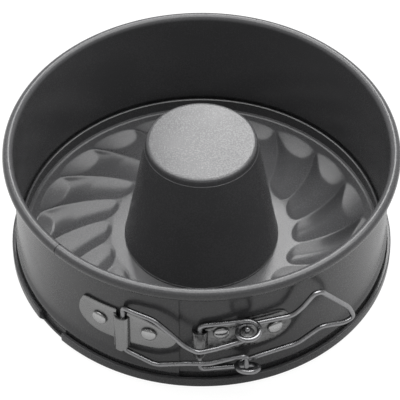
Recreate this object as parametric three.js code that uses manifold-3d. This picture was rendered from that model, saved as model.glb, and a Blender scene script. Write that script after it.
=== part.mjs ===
// A small springform tube pan: a fluted base with a conical tube, a split hoop that stands in the
// trough of the base, and the wire over-centre latch that draws the ends of the hoop together.
// Millimetres, +Z up. The origin is in the middle of the footprint, in the plane that the base rests on.
// The latch stands out at the front, so the pan's axis lies a little behind the origin.
// Azimuths are degrees about the pan's axis from the front (-Y), growing towards +X.

import * as THREE from 'three';
import { mergeVertices } from 'three/addons/utils/BufferGeometryUtils.js';
import Module from 'manifold-3d';

// Sheet, fits and facets
const AXIS_SETBACK = 3.5;
const SHEET = 0.7;
const PLATE_SHEET = 1.0;
const SLIP = 0.3;
const RING_FACETS = 72;
const WIRE_FACETS = 8;
const WIRE_STEP = 2.4;
const LONGEST_BEND_SHARE = 0.45;
const CURVE_FACETS = 5;
const RIVET_FACETS = 12;
const RIVET_DOME_RINGS = 4;

// Hoop
const HOOP_INNER_RADIUS = 80;
const HOOP_TOP = 59.7;
const HOOP_LIFT = 0.8;
const ROLL_RADIUS = 2.3;
const ROLL_FACETS = 8;
const BEAD_HEIGHT = 8.6;
const BEAD_HALF_WIDTH = 2.1;
const BEAD_DEPTH = 0.8;
const BEAD_FACETS = 4;
const OVERLAP_START = -46;
const OVERLAP_END = -6.5;
const SLIT_WIDTH = 1.0;

// Base
const LIP_TOP = 5.6;
const LIP_ROLL = 0.8;
const LIP_NOTCH_START = -56;
const LIP_NOTCH_END = -46;
const COLLAR_TOP = 10.4;
const COLLAR_THICKNESS = 1.4;
const STEP_HEIGHT = 4.6;
const STEP_WIDTH = 0.9;
const COLLAR_DRAFT = 0.2;
const FLAT_RING_HEIGHT = 5.8;
const FLAT_RING_RADIUS = 40;
const FLUTE_COUNT = 20;
const FLUTE_FACETS = 5;
const FLUTE_DEPTH = 3.0;
const FLUTE_START_DEPTH = 1.5;
const FLUTE_VALLEY = 0.4;
const FLUTE_BOW = 1.4;
const FLUTE_SWIRL = 20;
const FLUTE_HEEL = 3;
const FLUTE_CUSP = 6;
const FLUTE_SPOON = 12.5;
const SPOON_RINGS = 3;

// Tube
const TUBE_TOP = 60.5;
const TUBE_TOP_RADIUS = 23;
const TUBE_SHOULDER = 1.8;
const TUBE_FOOT_RADIUS = 32;
const TUBE_FLANGE = 2.4;
const TUBE_FOOT_CURVE = 0.6;
const TUBE_FACETS = 40;

// Latch wires
const WIRE = 2.2;
const LATCH_HEIGHT = 28.1;
const EYE_RISE = 12.3;
const EYE_DROP = 13.0;
const EYE_RADIUS = 4.5;
const EYE_AZIMUTH = 12.4;
const EYE_STANDOFF = 1.7;
const LOWER_EYE_LIFT = 1.6;
const LOWER_EYE_STRETCH = 1.2;
const COIL_POINTS = 16;
const LEVER_BEND = 2.5;
const LEVER_LEG_RISE = 11.0;
const LEVER_LEG_DROP = 17.0;
const LEVER_BUTT_GAP = 0.6;
const LINK_BEND = 2.2;
const LINK_LEG_RISE = 16.1;
const LINK_LEG_DROP = 13.3;
const LINK_HOOK_RISE = 4.7;
const LINK_HOOK_DROP = 7.4;

// Bends of the wires: steps out from the hooks' or the arms' radius, azimuths, and rises above the latch
const LINK_UPPER_ARM = [
  { out: 1.3, azimuth: 3.7, rise: 2.5 },
  { out: 1.8, azimuth: -1.0, rise: 0.8 },
  { out: 1.1, azimuth: -4.8, rise: 4.2 },
  { out: 0.3, azimuth: -8.9, rise: 10.9 },
  { out: -1.0, azimuth: -13.2, rise: 15.6 },
  { out: -1.8, azimuth: -19.4, rise: 16.8 },
];
const LINK_LOWER_ARM = [
  { out: -1.2, azimuth: -12.9, rise: -13.0 },
  { out: 0.3, azimuth: -3.5, rise: -7.9 },
  { out: 0.3, azimuth: 1.9, rise: -8.1 },
  { out: 0.0, azimuth: 8.9, rise: -7.3 },
];
const LEVER_HANDLE = [
  { out: 1.3, azimuth: 25.8, rise: 10.9 },
  { out: 2.3, azimuth: 28.4, rise: 14.8 },
  { out: 3.3, azimuth: 31.6, rise: 21.6 },
  { out: 3.8, azimuth: 33.6, rise: 21.4 },
  { out: 6.3, azimuth: 42.5, rise: 4.0 },
  { out: 6.8, azimuth: 44.3, rise: -3.6 },
  { out: 6.3, azimuth: 41.3, rise: -4.0 },
  { out: 3.8, azimuth: 34.3, rise: -1.0 },
  { out: 1.3, azimuth: 27.8, rise: -8.3 },
];

// Catch plate on the free end of the hoop
const CATCH_AZIMUTH = -23.3;
const CATCH_LEFT = -37.7;
const CATCH_RIGHT = -7.2;
const CATCH_SHOULDER = -13.5;
const CATCH_RISE = 3.1;
const CATCH_HALF_HEIGHT = 9.2;
const CATCH_CORNER = 3.0;
const CATCH_TIP_DROP = 1.6;
const CATCH_SADDLE_TOP = 10.3;
const CATCH_SADDLE_BOTTOM = 10.1;
const CATCH_RIVETS = [
  { azimuth: -30.5, rise: 0.4 },
  { azimuth: -15.2, rise: -0.2 },
];

// Hinge plate on the other end of the hoop
const HINGE_AZIMUTH = -0.5;
const HINGE_RIGHT = 26.7;
const HINGE_LOWER_SHOULDER = 15.0;
const HINGE_UPPER_SHOULDER = 20.5;
const HINGE_NECK = 13.0;
const HINGE_RISE = 3.3;
const HINGE_HALF_HEIGHT = 9.1;
const HINGE_SADDLE_TOP = 7.1;
const HINGE_SADDLE_BOTTOM = 8.3;
const HINGE_RIVETS = [
  { azimuth: 5.6, rise: 2.2 },
  { azimuth: 21.7, rise: -0.2 },
];

// Rivets
const RIVET_HEAD_RADIUS = 3.3;
const RIVET_HEAD_HEIGHT = 1.5;
const RIVET_SHANK_RADIUS = 1.5;
const RIVET_TAIL_RADIUS = 2.2;
const RIVET_TAIL_HEIGHT = 0.6;

// Radii and heights that follow from the dimensions above
const WIRE_RADIUS = WIRE / 2;
const HOOP_OUTER_RADIUS = HOOP_INNER_RADIUS + SHEET;
const FREE_END_INNER_RADIUS = HOOP_OUTER_RADIUS + SLIP;
const FREE_END_OUTER_RADIUS = FREE_END_INNER_RADIUS + SHEET;
const HOOP_BOTTOM = SHEET + HOOP_LIFT;
const ROLL_CENTRE_RADIUS = HOOP_INNER_RADIUS + ROLL_RADIUS;
const ROLL_CENTRE_HEIGHT = HOOP_TOP - ROLL_RADIUS;
const FREE_END_TOP = ROLL_CENTRE_HEIGHT - ROLL_RADIUS - SLIP;
const COLLAR_RADIUS = HOOP_INNER_RADIUS - SLIP;
const LIP_INNER_RADIUS = FREE_END_OUTER_RADIUS + SLIP;
const LIP_OUTER_RADIUS = LIP_INNER_RADIUS + SHEET;
const CATCH_PLATE_RADIUS = FREE_END_OUTER_RADIUS + SLIP;
const HINGE_PLATE_RADIUS = HOOP_OUTER_RADIUS + SLIP;
const LINK_LEG_RADIUS = FREE_END_OUTER_RADIUS + SLIP + WIRE_RADIUS;
const LEVER_LEG_RADIUS = HOOP_OUTER_RADIUS + SLIP + WIRE_RADIUS;
const LEVER_ARM_RADIUS = HINGE_PLATE_RADIUS + PLATE_SHEET + EYE_STANDOFF;
const EYE_CENTRE_RADIUS = LEVER_ARM_RADIUS + EYE_RADIUS;
const COIL_PITCH = WIRE + SLIP;
const LOWER_COIL_PITCH = COIL_PITCH + LOWER_EYE_STRETCH;
const OUTER_ARM_RISE = EYE_RISE + COIL_PITCH / 2;
const INNER_ARM_RISE = EYE_RISE - COIL_PITCH / 2;
const INNER_ARM_DROP = EYE_DROP - LOWER_COIL_PITCH / 2;
const OUTER_ARM_DROP = EYE_DROP + LOWER_COIL_PITCH / 2;
const HOOK_RADIUS = LEVER_ARM_RADIUS + WIRE + SLIP;
const HOOK_TIP_RISE = INNER_ARM_RISE - WIRE_RADIUS - SLIP;
const HOOK_TIP_DROP = INNER_ARM_DROP - WIRE_RADIUS - SLIP;
const SADDLE_HALF_WIDTH = WIRE_RADIUS + SLIP + PLATE_SHEET;
const CATCH_HEIGHT = LATCH_HEIGHT + CATCH_RISE;
const HINGE_HEIGHT = LATCH_HEIGHT + HINGE_RISE;
const COLLAR_INNER_RADIUS = COLLAR_RADIUS - COLLAR_THICKNESS;
const STEP_RADIUS = COLLAR_INNER_RADIUS - STEP_WIDTH;
const FLOOR_RADIUS = STEP_RADIUS - SLIP;
const FLUTE_END_RADIUS = FLOOR_RADIUS - SHEET;
const BASE_HOLE_RADIUS = TUBE_FOOT_RADIUS + SLIP;

const wasm = await Module();
wasm.setup();

// Point at a radius, an azimuth and a height
function around(radius, azimuth, height) {
  const angle = THREE.MathUtils.degToRad(azimuth);
  return new THREE.Vector3(radius * Math.sin(angle), -radius * Math.cos(angle), height);
}

function profilePoint(radius, height) {
  return new THREE.Vector2(radius, height);
}

// Enclosed volume of an indexed mesh, negative if its faces point inwards
function signedVolume(positions, triangles) {
  const corner = (i) => new THREE.Vector3().fromArray(positions, 3 * triangles[i]);
  let volume = 0;
  for (let i = 0; i < triangles.length; i += 3) {
    volume += corner(i).dot(corner(i + 1).cross(corner(i + 2))) / 6;
  }
  return volume;
}

// Turns a closed geometry into a solid that can be cut and joined
function solid(geometry) {
  const bare = geometry.clone();
  bare.deleteAttribute('normal');
  bare.deleteAttribute('uv');
  const merged = mergeVertices(bare);
  const vertProperties = new Float32Array(merged.attributes.position.array);
  const corners = merged.index.array;
  const triangles = [];
  for (let i = 0; i < corners.length; i += 3) {
    const [a, b, c] = [corners[i], corners[i + 1], corners[i + 2]];
    if (a !== b && b !== c && c !== a) triangles.push(a, b, c);
  }
  if (signedVolume(vertProperties, triangles) < 0) triangles.reverse();
  const triVerts = new Uint32Array(triangles);
  return new wasm.Manifold(new wasm.Mesh({ numProp: 3, vertProperties, triVerts }));
}

// Turns a solid back into a geometry for a mesh
function shape(body) {
  const mesh = body.getMesh();
  const positions = new Float32Array(mesh.numVert * 3);
  for (let i = 0; i < mesh.numVert; i += 1) {
    for (let k = 0; k < 3; k += 1) positions[3 * i + k] = mesh.vertProperties[mesh.numProp * i + k];
  }
  const geometry = new THREE.BufferGeometry();
  geometry.setAttribute('position', new THREE.BufferAttribute(positions, 3));
  geometry.setIndex(new THREE.BufferAttribute(new Uint32Array(mesh.triVerts), 1));
  geometry.computeVertexNormals();
  return geometry;
}

// Turns a profile of radii and heights about the pan's axis
function revolve(profile, facets) {
  const geometry = new THREE.LatheGeometry(profile, facets);
  geometry.rotateX(Math.PI / 2);
  return geometry;
}

function closed(profile) {
  return [...profile, profile[0].clone()];
}

// Wedge of the space about the pan's axis between two azimuths less than half a turn apart
function sector(start, end, radius, bottom, top) {
  const reach = radius / Math.cos(THREE.MathUtils.degToRad((end - start) / 2));
  const outline = new THREE.Shape([
    new THREE.Vector2(0, 0),
    new THREE.Vector2().copy(around(reach, start, 0)),
    new THREE.Vector2().copy(around(reach, end, 0)),
  ]);
  const geometry = new THREE.ExtrudeGeometry(outline, { depth: top - bottom, bevelEnabled: false });
  geometry.translate(0, 0, bottom);
  return solid(geometry);
}

// Moves a geometry built about +Z so that +Z becomes the outward radius at an azimuth and a height,
// and its +X becomes the tangent in the sense of growing azimuth
function standOut(geometry, azimuth, height) {
  const angle = THREE.MathUtils.degToRad(azimuth);
  const tangent = new THREE.Vector3(Math.cos(angle), Math.sin(angle), 0);
  const outward = new THREE.Vector3(Math.sin(angle), -Math.cos(angle), 0);
  const basis = new THREE.Matrix4().makeBasis(tangent, new THREE.Vector3(0, 0, 1), outward);
  basis.setPosition(0, 0, height);
  geometry.applyMatrix4(basis);
  return geometry;
}

// Drop of the flutes below the ridges, at a radius and at a place across the flute from 0 to 1:
// a short side and a long side meet in a valley, between a rounded heel and a flat spoon ramp
function fluteDrop(radius, across) {
  const spoonStart = FLUTE_END_RADIUS - FLUTE_SPOON;
  const side = Math.max((FLUTE_VALLEY - across) / FLUTE_VALLEY, (across - FLUTE_VALLEY) / (1 - FLUTE_VALLEY));
  const depth = THREE.MathUtils.mapLinear(
    radius, FLAT_RING_RADIUS, spoonStart, FLUTE_START_DEPTH, FLUTE_DEPTH);
  const trough = depth * (1 - side ** FLUTE_BOW);
  const spoon = (FLUTE_DEPTH * (FLUTE_END_RADIUS - radius)) / FLUTE_SPOON;
  const cusp = FLUTE_CUSP * (1 - Math.sqrt(1 - side ** 2));
  const heel = (FLUTE_START_DEPTH * (radius - FLAT_RING_RADIUS - cusp)) / FLUTE_HEEL;
  return Math.max(0, Math.min(trough, spoon, heel));
}

// Fluted floor of the base, from the tube's hole to the step
function fluteRadii() {
  const heelEnd = FLAT_RING_RADIUS + FLUTE_HEEL;
  const spoonStart = FLUTE_END_RADIUS - FLUTE_SPOON;
  const radii = [FLAT_RING_RADIUS, heelEnd, (heelEnd + spoonStart) / 2];
  for (let i = 0; i <= SPOON_RINGS; i += 1) {
    radii.push(THREE.MathUtils.lerp(spoonStart, FLUTE_END_RADIUS, i / SPOON_RINGS));
  }
  return radii;
}

function ridgeHeight(radius) {
  return THREE.MathUtils.mapLinear(
    radius, FLAT_RING_RADIUS, FLUTE_END_RADIUS, FLAT_RING_HEIGHT, STEP_HEIGHT + SHEET / 2);
}

function floorProfile() {
  const top = [
    profilePoint(BASE_HOLE_RADIUS, FLAT_RING_HEIGHT),
    ...fluteRadii().map((radius) => profilePoint(radius, ridgeHeight(radius))),
    profilePoint(FLOOR_RADIUS, STEP_HEIGHT),
  ];
  const underside = top.map((point) => profilePoint(point.x, point.y - SHEET));
  return closed([...top, ...underside.reverse()]);
}

// Presses the swirled flutes into the revolved sheet, both of its sides alike
function pressFlutes(geometry) {
  const position = geometry.attributes.position;
  const point = new THREE.Vector3();
  const pitch = 360 / FLUTE_COUNT;
  for (let i = 0; i < position.count; i += 1) {
    point.fromBufferAttribute(position, i);
    const radius = Math.hypot(point.x, point.y);
    const azimuth = THREE.MathUtils.radToDeg(Math.atan2(point.x, -point.y));
    const facet = Math.round((azimuth / pitch) * FLUTE_FACETS);
    const across = THREE.MathUtils.euclideanModulo(facet, FLUTE_FACETS) / FLUTE_FACETS;
    const inward = THREE.MathUtils.inverseLerp(FLUTE_END_RADIUS, FLAT_RING_RADIUS, radius);
    const turn = pitch / 2 - FLUTE_SWIRL * THREE.MathUtils.clamp(inward, 0, 1);
    point.copy(around(radius, azimuth + turn, point.z - fluteDrop(radius, across)));
    position.setXYZ(i, point.x, point.y, point.z);
  }
  return geometry;
}

function basePlate() {
  return shape(solid(pressFlutes(revolve(floorProfile(), FLUTE_COUNT * FLUTE_FACETS))));
}

// Rim of the base: the step, the folded collar inside the hoop, the trough and the upturned lip
function baseRim() {
  const lipCrown = LIP_OUTER_RADIUS + LIP_ROLL;
  const ring = revolve(closed([
    profilePoint(STEP_RADIUS, STEP_HEIGHT),
    profilePoint(COLLAR_INNER_RADIUS - COLLAR_DRAFT, STEP_HEIGHT),
    profilePoint(COLLAR_INNER_RADIUS, COLLAR_TOP - COLLAR_THICKNESS / 2),
    profilePoint(COLLAR_RADIUS - COLLAR_THICKNESS / 2, COLLAR_TOP),
    profilePoint(COLLAR_RADIUS, COLLAR_TOP - COLLAR_THICKNESS / 2),
    profilePoint(COLLAR_RADIUS, SHEET),
    profilePoint(LIP_INNER_RADIUS, SHEET),
    profilePoint(LIP_INNER_RADIUS, LIP_TOP - LIP_ROLL / 2),
    profilePoint(LIP_OUTER_RADIUS, LIP_TOP),
    profilePoint(lipCrown, LIP_TOP - LIP_ROLL / 2),
    profilePoint(lipCrown, LIP_TOP - 2 * LIP_ROLL),
    profilePoint(LIP_OUTER_RADIUS, LIP_TOP - 3 * LIP_ROLL),
    profilePoint(LIP_OUTER_RADIUS, SHEET),
    profilePoint(LIP_INNER_RADIUS, 0),
    profilePoint(COLLAR_INNER_RADIUS, 0),
    profilePoint(STEP_RADIUS, STEP_HEIGHT - SHEET),
  ]), RING_FACETS);
  const reach = lipCrown + LIP_ROLL;
  const notchRing = revolve(closed([
    profilePoint(LIP_INNER_RADIUS - SHEET, SHEET + SLIP),
    profilePoint(reach, SHEET + SLIP),
    profilePoint(reach, LIP_TOP + SLIP),
    profilePoint(LIP_INNER_RADIUS - SHEET, LIP_TOP + SLIP),
  ]), RING_FACETS);
  const wedge = sector(LIP_NOTCH_START, LIP_NOTCH_END, reach + SHEET, 0, LIP_TOP + SHEET);
  return shape(solid(ring).subtract(solid(notchRing).intersect(wedge)));
}

// Tube: drawn cone with a flat closed top, its foot crimped round the edge of the base
function tube() {
  const flangeRadius = TUBE_FOOT_RADIUS + TUBE_FLANGE;
  const flangeBottom = FLAT_RING_HEIGHT + SLIP;
  const flangeTop = flangeBottom + SHEET;
  const hemTop = FLAT_RING_HEIGHT - SHEET - SLIP;
  const hemBottom = hemTop - SHEET;
  const bore = TUBE_FOOT_RADIUS - SHEET;
  const half = TUBE_SHOULDER * (1 - Math.SQRT1_2);
  const profile = [
    profilePoint(0, TUBE_TOP),
    profilePoint(TUBE_TOP_RADIUS - TUBE_SHOULDER, TUBE_TOP),
    profilePoint(TUBE_TOP_RADIUS - half, TUBE_TOP - half),
    profilePoint(TUBE_TOP_RADIUS, TUBE_TOP - TUBE_SHOULDER),
    profilePoint(TUBE_FOOT_RADIUS, flangeTop + TUBE_FLANGE),
    profilePoint(TUBE_FOOT_RADIUS + TUBE_FOOT_CURVE, flangeTop + TUBE_FOOT_CURVE),
    profilePoint(flangeRadius, flangeTop),
    profilePoint(flangeRadius, flangeBottom),
    profilePoint(TUBE_FOOT_RADIUS, flangeBottom),
    profilePoint(TUBE_FOOT_RADIUS, hemTop),
    profilePoint(flangeRadius - SHEET, hemTop),
    profilePoint(flangeRadius - SHEET, hemBottom),
    profilePoint(bore, hemBottom),
    profilePoint(bore, flangeTop + TUBE_FLANGE),
    profilePoint(TUBE_TOP_RADIUS - SHEET, TUBE_TOP - TUBE_SHOULDER),
    profilePoint(TUBE_TOP_RADIUS - TUBE_SHOULDER, TUBE_TOP - SHEET),
    profilePoint(0, TUBE_TOP - SHEET),
  ];
  return shape(solid(revolve(profile, TUBE_FACETS)));
}

// Wall of the hoop at an inner radius: upright sheet with an outward bead near its bottom edge
function wallFace(radius, bottom, top) {
  const bead = [];
  for (let i = 0; i <= BEAD_FACETS; i += 1) {
    const share = 2 * (i / BEAD_FACETS) - 1;
    bead.push(profilePoint(radius + BEAD_DEPTH * (1 - share ** 2), BEAD_HEIGHT + BEAD_HALF_WIDTH * share));
  }
  return [profilePoint(radius, bottom), ...bead, profilePoint(radius, top)];
}

// Takes the rivets' holes out of a sheet or plate whose middle is at a height
function drillRivetHoles(body, rivets, height) {
  return rivets.reduce((left, { azimuth, rise }) => left.subtract(rivetHole(azimuth, height + rise)), body);
}

function rivetHole(azimuth, height) {
  const reach = CATCH_PLATE_RADIUS + PLATE_SHEET + RIVET_HEAD_HEIGHT;
  const depth = reach - COLLAR_RADIUS;
  const drill = new THREE.CylinderGeometry(
    RIVET_SHANK_RADIUS + SLIP, RIVET_SHANK_RADIUS + SLIP, depth, RIVET_FACETS);
  drill.rotateX(Math.PI / 2);
  drill.translate(0, 0, reach - depth / 2);
  return solid(standOut(drill, azimuth, height));
}

// Hoop: upright wall with a rolled rim, slit where the overlapping free end starts
function hoop() {
  const roll = [];
  for (let i = 0; i < ROLL_FACETS; i += 1) {
    const angle = Math.PI - (i / ROLL_FACETS) * 2 * Math.PI;
    const radius = ROLL_CENTRE_RADIUS + ROLL_RADIUS * Math.cos(angle);
    const height = ROLL_CENTRE_HEIGHT + ROLL_RADIUS * Math.sin(angle);
    if (radius > HOOP_OUTER_RADIUS || height >= ROLL_CENTRE_HEIGHT) roll.push(profilePoint(radius, height));
  }
  const inner = wallFace(HOOP_INNER_RADIUS, HOOP_BOTTOM, ROLL_CENTRE_HEIGHT).slice(0, -1);
  const outer = wallFace(HOOP_OUTER_RADIUS, HOOP_BOTTOM, ROLL_CENTRE_HEIGHT - ROLL_RADIUS);
  const wall = solid(revolve(closed([...inner, ...roll, ...outer.reverse()]), RING_FACETS));
  const slitAngle = THREE.MathUtils.radToDeg(SLIT_WIDTH / HOOP_INNER_RADIUS);
  const reach = ROLL_CENTRE_RADIUS + 2 * ROLL_RADIUS;
  const slit = sector(OVERLAP_START - slitAngle, OVERLAP_START, reach, 0, HOOP_TOP + SHEET);
  return shape(drillRivetHoles(wall.subtract(slit), HINGE_RIVETS, HINGE_HEIGHT));
}

// Free end: the outer layer of the same sheet, which slides round the hoop as the latch opens
function hoopFreeEnd() {
  const inner = wallFace(FREE_END_INNER_RADIUS, HOOP_BOTTOM, FREE_END_TOP);
  const outer = wallFace(FREE_END_OUTER_RADIUS, HOOP_BOTTOM, FREE_END_TOP);
  const ring = solid(revolve(closed([...inner, ...outer.reverse()]), RING_FACETS));
  const reach = FREE_END_OUTER_RADIUS + 2 * BEAD_DEPTH;
  const layer = ring.intersect(sector(OVERLAP_START, OVERLAP_END, reach, 0, HOOP_TOP));
  return shape(drillRivetHoles(layer, CATCH_RIVETS, CATCH_HEIGHT));
}

// Sheet-metal plate bent to the hoop: an outline in the tangent plane at an azimuth, cut from a ring
function bentPlate(innerRadius, azimuth, height, outline) {
  const reach = innerRadius + 2 * PLATE_SHEET;
  const ring = revolve(closed([
    profilePoint(innerRadius, 0),
    profilePoint(innerRadius + PLATE_SHEET, 0),
    profilePoint(innerRadius + PLATE_SHEET, HOOP_TOP),
    profilePoint(innerRadius, HOOP_TOP),
  ]), RING_FACETS);
  const cutter = new THREE.ExtrudeGeometry(
    outline, { depth: reach, bevelEnabled: false, curveSegments: CURVE_FACETS });
  return solid(ring).intersect(solid(standOut(cutter, azimuth, height)));
}

// Distance along the tangent at one azimuth of a point that lies at another
function tangentReach(radius, azimuth, from) {
  return radius * Math.sin(THREE.MathUtils.degToRad(azimuth - from));
}

// Upright round bar at a radius and an azimuth, from which saddles and their channels are made
function uprightBar(barRadius, radius, azimuth, bottom, top) {
  const bar = new THREE.CylinderGeometry(barRadius, barRadius, top - bottom, 2 * RIVET_FACETS);
  bar.rotateX(Math.PI / 2);
  const place = around(radius, azimuth, (top + bottom) / 2);
  bar.translate(place.x, place.y, place.z);
  return solid(bar);
}

// Joins a pressed-out saddle to a plate and opens the channel for the wire that turns in it
function addSaddle(plate, plateRadius, legRadius, azimuth, bottom, top) {
  const channelRadius = WIRE_RADIUS + SLIP;
  const outside = plateRadius + legRadius;
  const keepRing = solid(revolve(closed([
    profilePoint(plateRadius, bottom),
    profilePoint(outside, bottom),
    profilePoint(outside, top),
    profilePoint(plateRadius, top),
  ]), RING_FACETS));
  const arch = uprightBar(channelRadius + PLATE_SHEET, legRadius, azimuth, bottom, top).intersect(keepRing);
  const channel = uprightBar(channelRadius, legRadius, azimuth, -HOOP_TOP, 2 * HOOP_TOP);
  return plate.add(arch).subtract(channel);
}

// Catch plate: rounded at the left, drawn to a tip at the right, with its saddle between the rivets
function catchPlate() {
  const along = (azimuth) => tangentReach(CATCH_PLATE_RADIUS, azimuth, CATCH_AZIMUTH);
  const left = along(CATCH_LEFT);
  const right = along(CATCH_RIGHT);
  const shoulder = along(CATCH_SHOULDER);
  const half = CATCH_HALF_HEIGHT;
  const outline = new THREE.Shape();
  outline.moveTo(right, -CATCH_TIP_DROP);
  outline.quadraticCurveTo(shoulder, half, SADDLE_HALF_WIDTH, half);
  outline.lineTo(left + CATCH_CORNER, half);
  outline.quadraticCurveTo(left, half, left, half - 2 * CATCH_CORNER);
  outline.lineTo(left, 0);
  outline.quadraticCurveTo(left, -half, left + half, -half);
  outline.lineTo(shoulder, -half);
  outline.quadraticCurveTo(right, -half, right, -CATCH_TIP_DROP);
  const plate = bentPlate(CATCH_PLATE_RADIUS, CATCH_AZIMUTH, CATCH_HEIGHT, outline);
  const body = addSaddle(
    plate, CATCH_PLATE_RADIUS, LINK_LEG_RADIUS, CATCH_AZIMUTH,
    LATCH_HEIGHT - CATCH_SADDLE_BOTTOM, LATCH_HEIGHT + CATCH_SADDLE_TOP);
  return shape(drillRivetHoles(body, CATCH_RIVETS, CATCH_HEIGHT));
}

// Hinge plate: rounded at the right, falling away to the saddle that carries the lever's leg
function hingePlate() {
  const along = (azimuth) => tangentReach(HINGE_PLATE_RADIUS, azimuth, HINGE_AZIMUTH);
  const right = along(HINGE_RIGHT);
  const half = HINGE_HALF_HEIGHT;
  const saddleTop = HINGE_SADDLE_TOP - HINGE_RISE;
  const saddleBottom = -HINGE_SADDLE_BOTTOM - HINGE_RISE;
  const outline = new THREE.Shape();
  outline.moveTo(0, saddleTop);
  outline.lineTo(0, saddleBottom);
  outline.lineTo(SADDLE_HALF_WIDTH, saddleBottom);
  outline.lineTo(along(HINGE_LOWER_SHOULDER), -half);
  outline.quadraticCurveTo(right, -half, right, 0);
  outline.quadraticCurveTo(right, half, along(HINGE_UPPER_SHOULDER), half);
  outline.lineTo(along(HINGE_NECK), half);
  outline.lineTo(SADDLE_HALF_WIDTH, saddleTop);
  outline.closePath();
  const plate = bentPlate(HINGE_PLATE_RADIUS, HINGE_AZIMUTH, HINGE_HEIGHT, outline);
  const body = addSaddle(
    plate, HINGE_PLATE_RADIUS, LEVER_LEG_RADIUS, HINGE_AZIMUTH,
    LATCH_HEIGHT - HINGE_SADDLE_BOTTOM, LATCH_HEIGHT + HINGE_SADDLE_TOP);
  return shape(drillRivetHoles(body, HINGE_RIVETS, HINGE_HEIGHT));
}

// Domed rivet along the outward radius: its seat is the outside of the plate that it holds.
// A tail radius no larger than the shank leaves the tail flush.
function rivet(seatRadius, tailRadius, tailSeatRadius, azimuth, height) {
  const headBottom = seatRadius + SLIP;
  const headTop = headBottom + RIVET_HEAD_HEIGHT;
  const flush = tailRadius <= RIVET_SHANK_RADIUS;
  const tailTop = flush ? tailSeatRadius + SLIP / 2 : tailSeatRadius - SLIP;
  const tailBottom = flush ? tailTop : tailTop - RIVET_TAIL_HEIGHT;
  const profile = [profilePoint(0, tailBottom)];
  if (!flush) profile.push(profilePoint(tailRadius, tailBottom), profilePoint(tailRadius, tailTop));
  profile.push(
    profilePoint(RIVET_SHANK_RADIUS, tailTop),
    profilePoint(RIVET_SHANK_RADIUS, headBottom),
    profilePoint(RIVET_HEAD_RADIUS, headBottom),
  );
  for (let i = 1; i < RIVET_DOME_RINGS; i += 1) {
    const angle = (i / RIVET_DOME_RINGS) * (Math.PI / 2);
    profile.push(profilePoint(
      RIVET_HEAD_RADIUS * Math.cos(angle), headBottom + RIVET_HEAD_HEIGHT * Math.sin(angle)));
  }
  profile.push(profilePoint(0, headTop));
  return shape(solid(standOut(revolve(profile, RIVET_FACETS), azimuth, height)));
}

// Round wire along a line of points whose corners are bent to a radius
function wire(points, bend) {
  const path = new THREE.CurvePath();
  let from = points[0];
  for (let i = 1; i < points.length - 1; i += 1) {
    const before = points[i].distanceTo(points[i - 1]);
    const after = points[i].distanceTo(points[i + 1]);
    const trim = Math.min(bend, before * LONGEST_BEND_SHARE, after * LONGEST_BEND_SHARE);
    const into = points[i].clone().lerp(points[i - 1], trim / before);
    const out = points[i].clone().lerp(points[i + 1], trim / after);
    path.add(new THREE.LineCurve3(from, into));
    path.add(new THREE.QuadraticBezierCurve3(into, points[i], out));
    from = out;
  }
  path.add(new THREE.LineCurve3(from, points[points.length - 1]));
  const section = new THREE.Shape();
  section.absarc(0, 0, WIRE_RADIUS, 0, 2 * Math.PI, false);
  const geometry = new THREE.ExtrudeGeometry(section, {
    steps: Math.round(path.getLength() / WIRE_STEP),
    curveSegments: WIRE_FACETS / 2,
    bevelEnabled: false,
    extrudePath: path,
  });
  return shape(solid(geometry));
}

// Bends of a wire as points, from a list of steps out from a radius, azimuths and rises
function bends(radius, list) {
  return list.map(({ out, azimuth, rise }) => around(radius + out, azimuth, LATCH_HEIGHT + rise));
}

// Link: the bail that turns in the catch saddle and hooks into the two eyes of the lever
function linkBail() {
  const hook = (rise) => around(HOOK_RADIUS, EYE_AZIMUTH, LATCH_HEIGHT + rise);
  const leg = (rise) => around(LINK_LEG_RADIUS, CATCH_AZIMUTH, LATCH_HEIGHT + rise);
  return wire([
    hook(HOOK_TIP_RISE),
    hook(LINK_HOOK_RISE),
    ...bends(HOOK_RADIUS, LINK_UPPER_ARM),
    leg(LINK_LEG_RISE),
    leg(-LINK_LEG_DROP),
    ...bends(HOOK_RADIUS, LINK_LOWER_ARM),
    hook(-LINK_HOOK_DROP),
    hook(-HOOK_TIP_DROP),
  ], LINK_BEND);
}

// One turn of an eye: it leaves the arm on the hoop's side, swings out with a lift and comes back a
// pitch away
function eyeTurn(startRise, endRise, lift, sense) {
  const centre = around(EYE_CENTRE_RADIUS, EYE_AZIMUTH, 0);
  const outward = around(1, EYE_AZIMUTH, 0);
  const tangent = around(1, EYE_AZIMUTH + 90, 0);
  const points = [];
  for (let i = 0; i <= COIL_POINTS; i += 1) {
    const turn = (i / COIL_POINTS) * 2 * Math.PI;
    const point = centre.clone();
    point.addScaledVector(outward, -EYE_RADIUS * Math.cos(turn));
    point.addScaledVector(tangent, sense * EYE_RADIUS * Math.sin(turn));
    const rise = THREE.MathUtils.lerp(startRise, endRise, i / COIL_POINTS);
    point.z = LATCH_HEIGHT + rise + lift * Math.sin(turn / 2) ** 2;
    points.push(point);
  }
  return points;
}

// Lever: a leg that turns in the hinge saddle, two arms with an eye each, and a looped handle
function latchLever() {
  const leg = (rise) => around(LEVER_LEG_RADIUS, HINGE_AZIMUTH, LATCH_HEIGHT + rise);
  return wire([
    leg(LEVER_BUTT_GAP / 2),
    leg(LEVER_LEG_RISE),
    ...eyeTurn(OUTER_ARM_RISE, INNER_ARM_RISE, 0, 1),
    ...bends(LEVER_ARM_RADIUS, LEVER_HANDLE),
    ...eyeTurn(-INNER_ARM_DROP, -OUTER_ARM_DROP, LOWER_EYE_LIFT, -1),
    leg(-LEVER_LEG_DROP),
    leg(-LEVER_BUTT_GAP / 2),
  ], LEVER_BEND);
}

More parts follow.
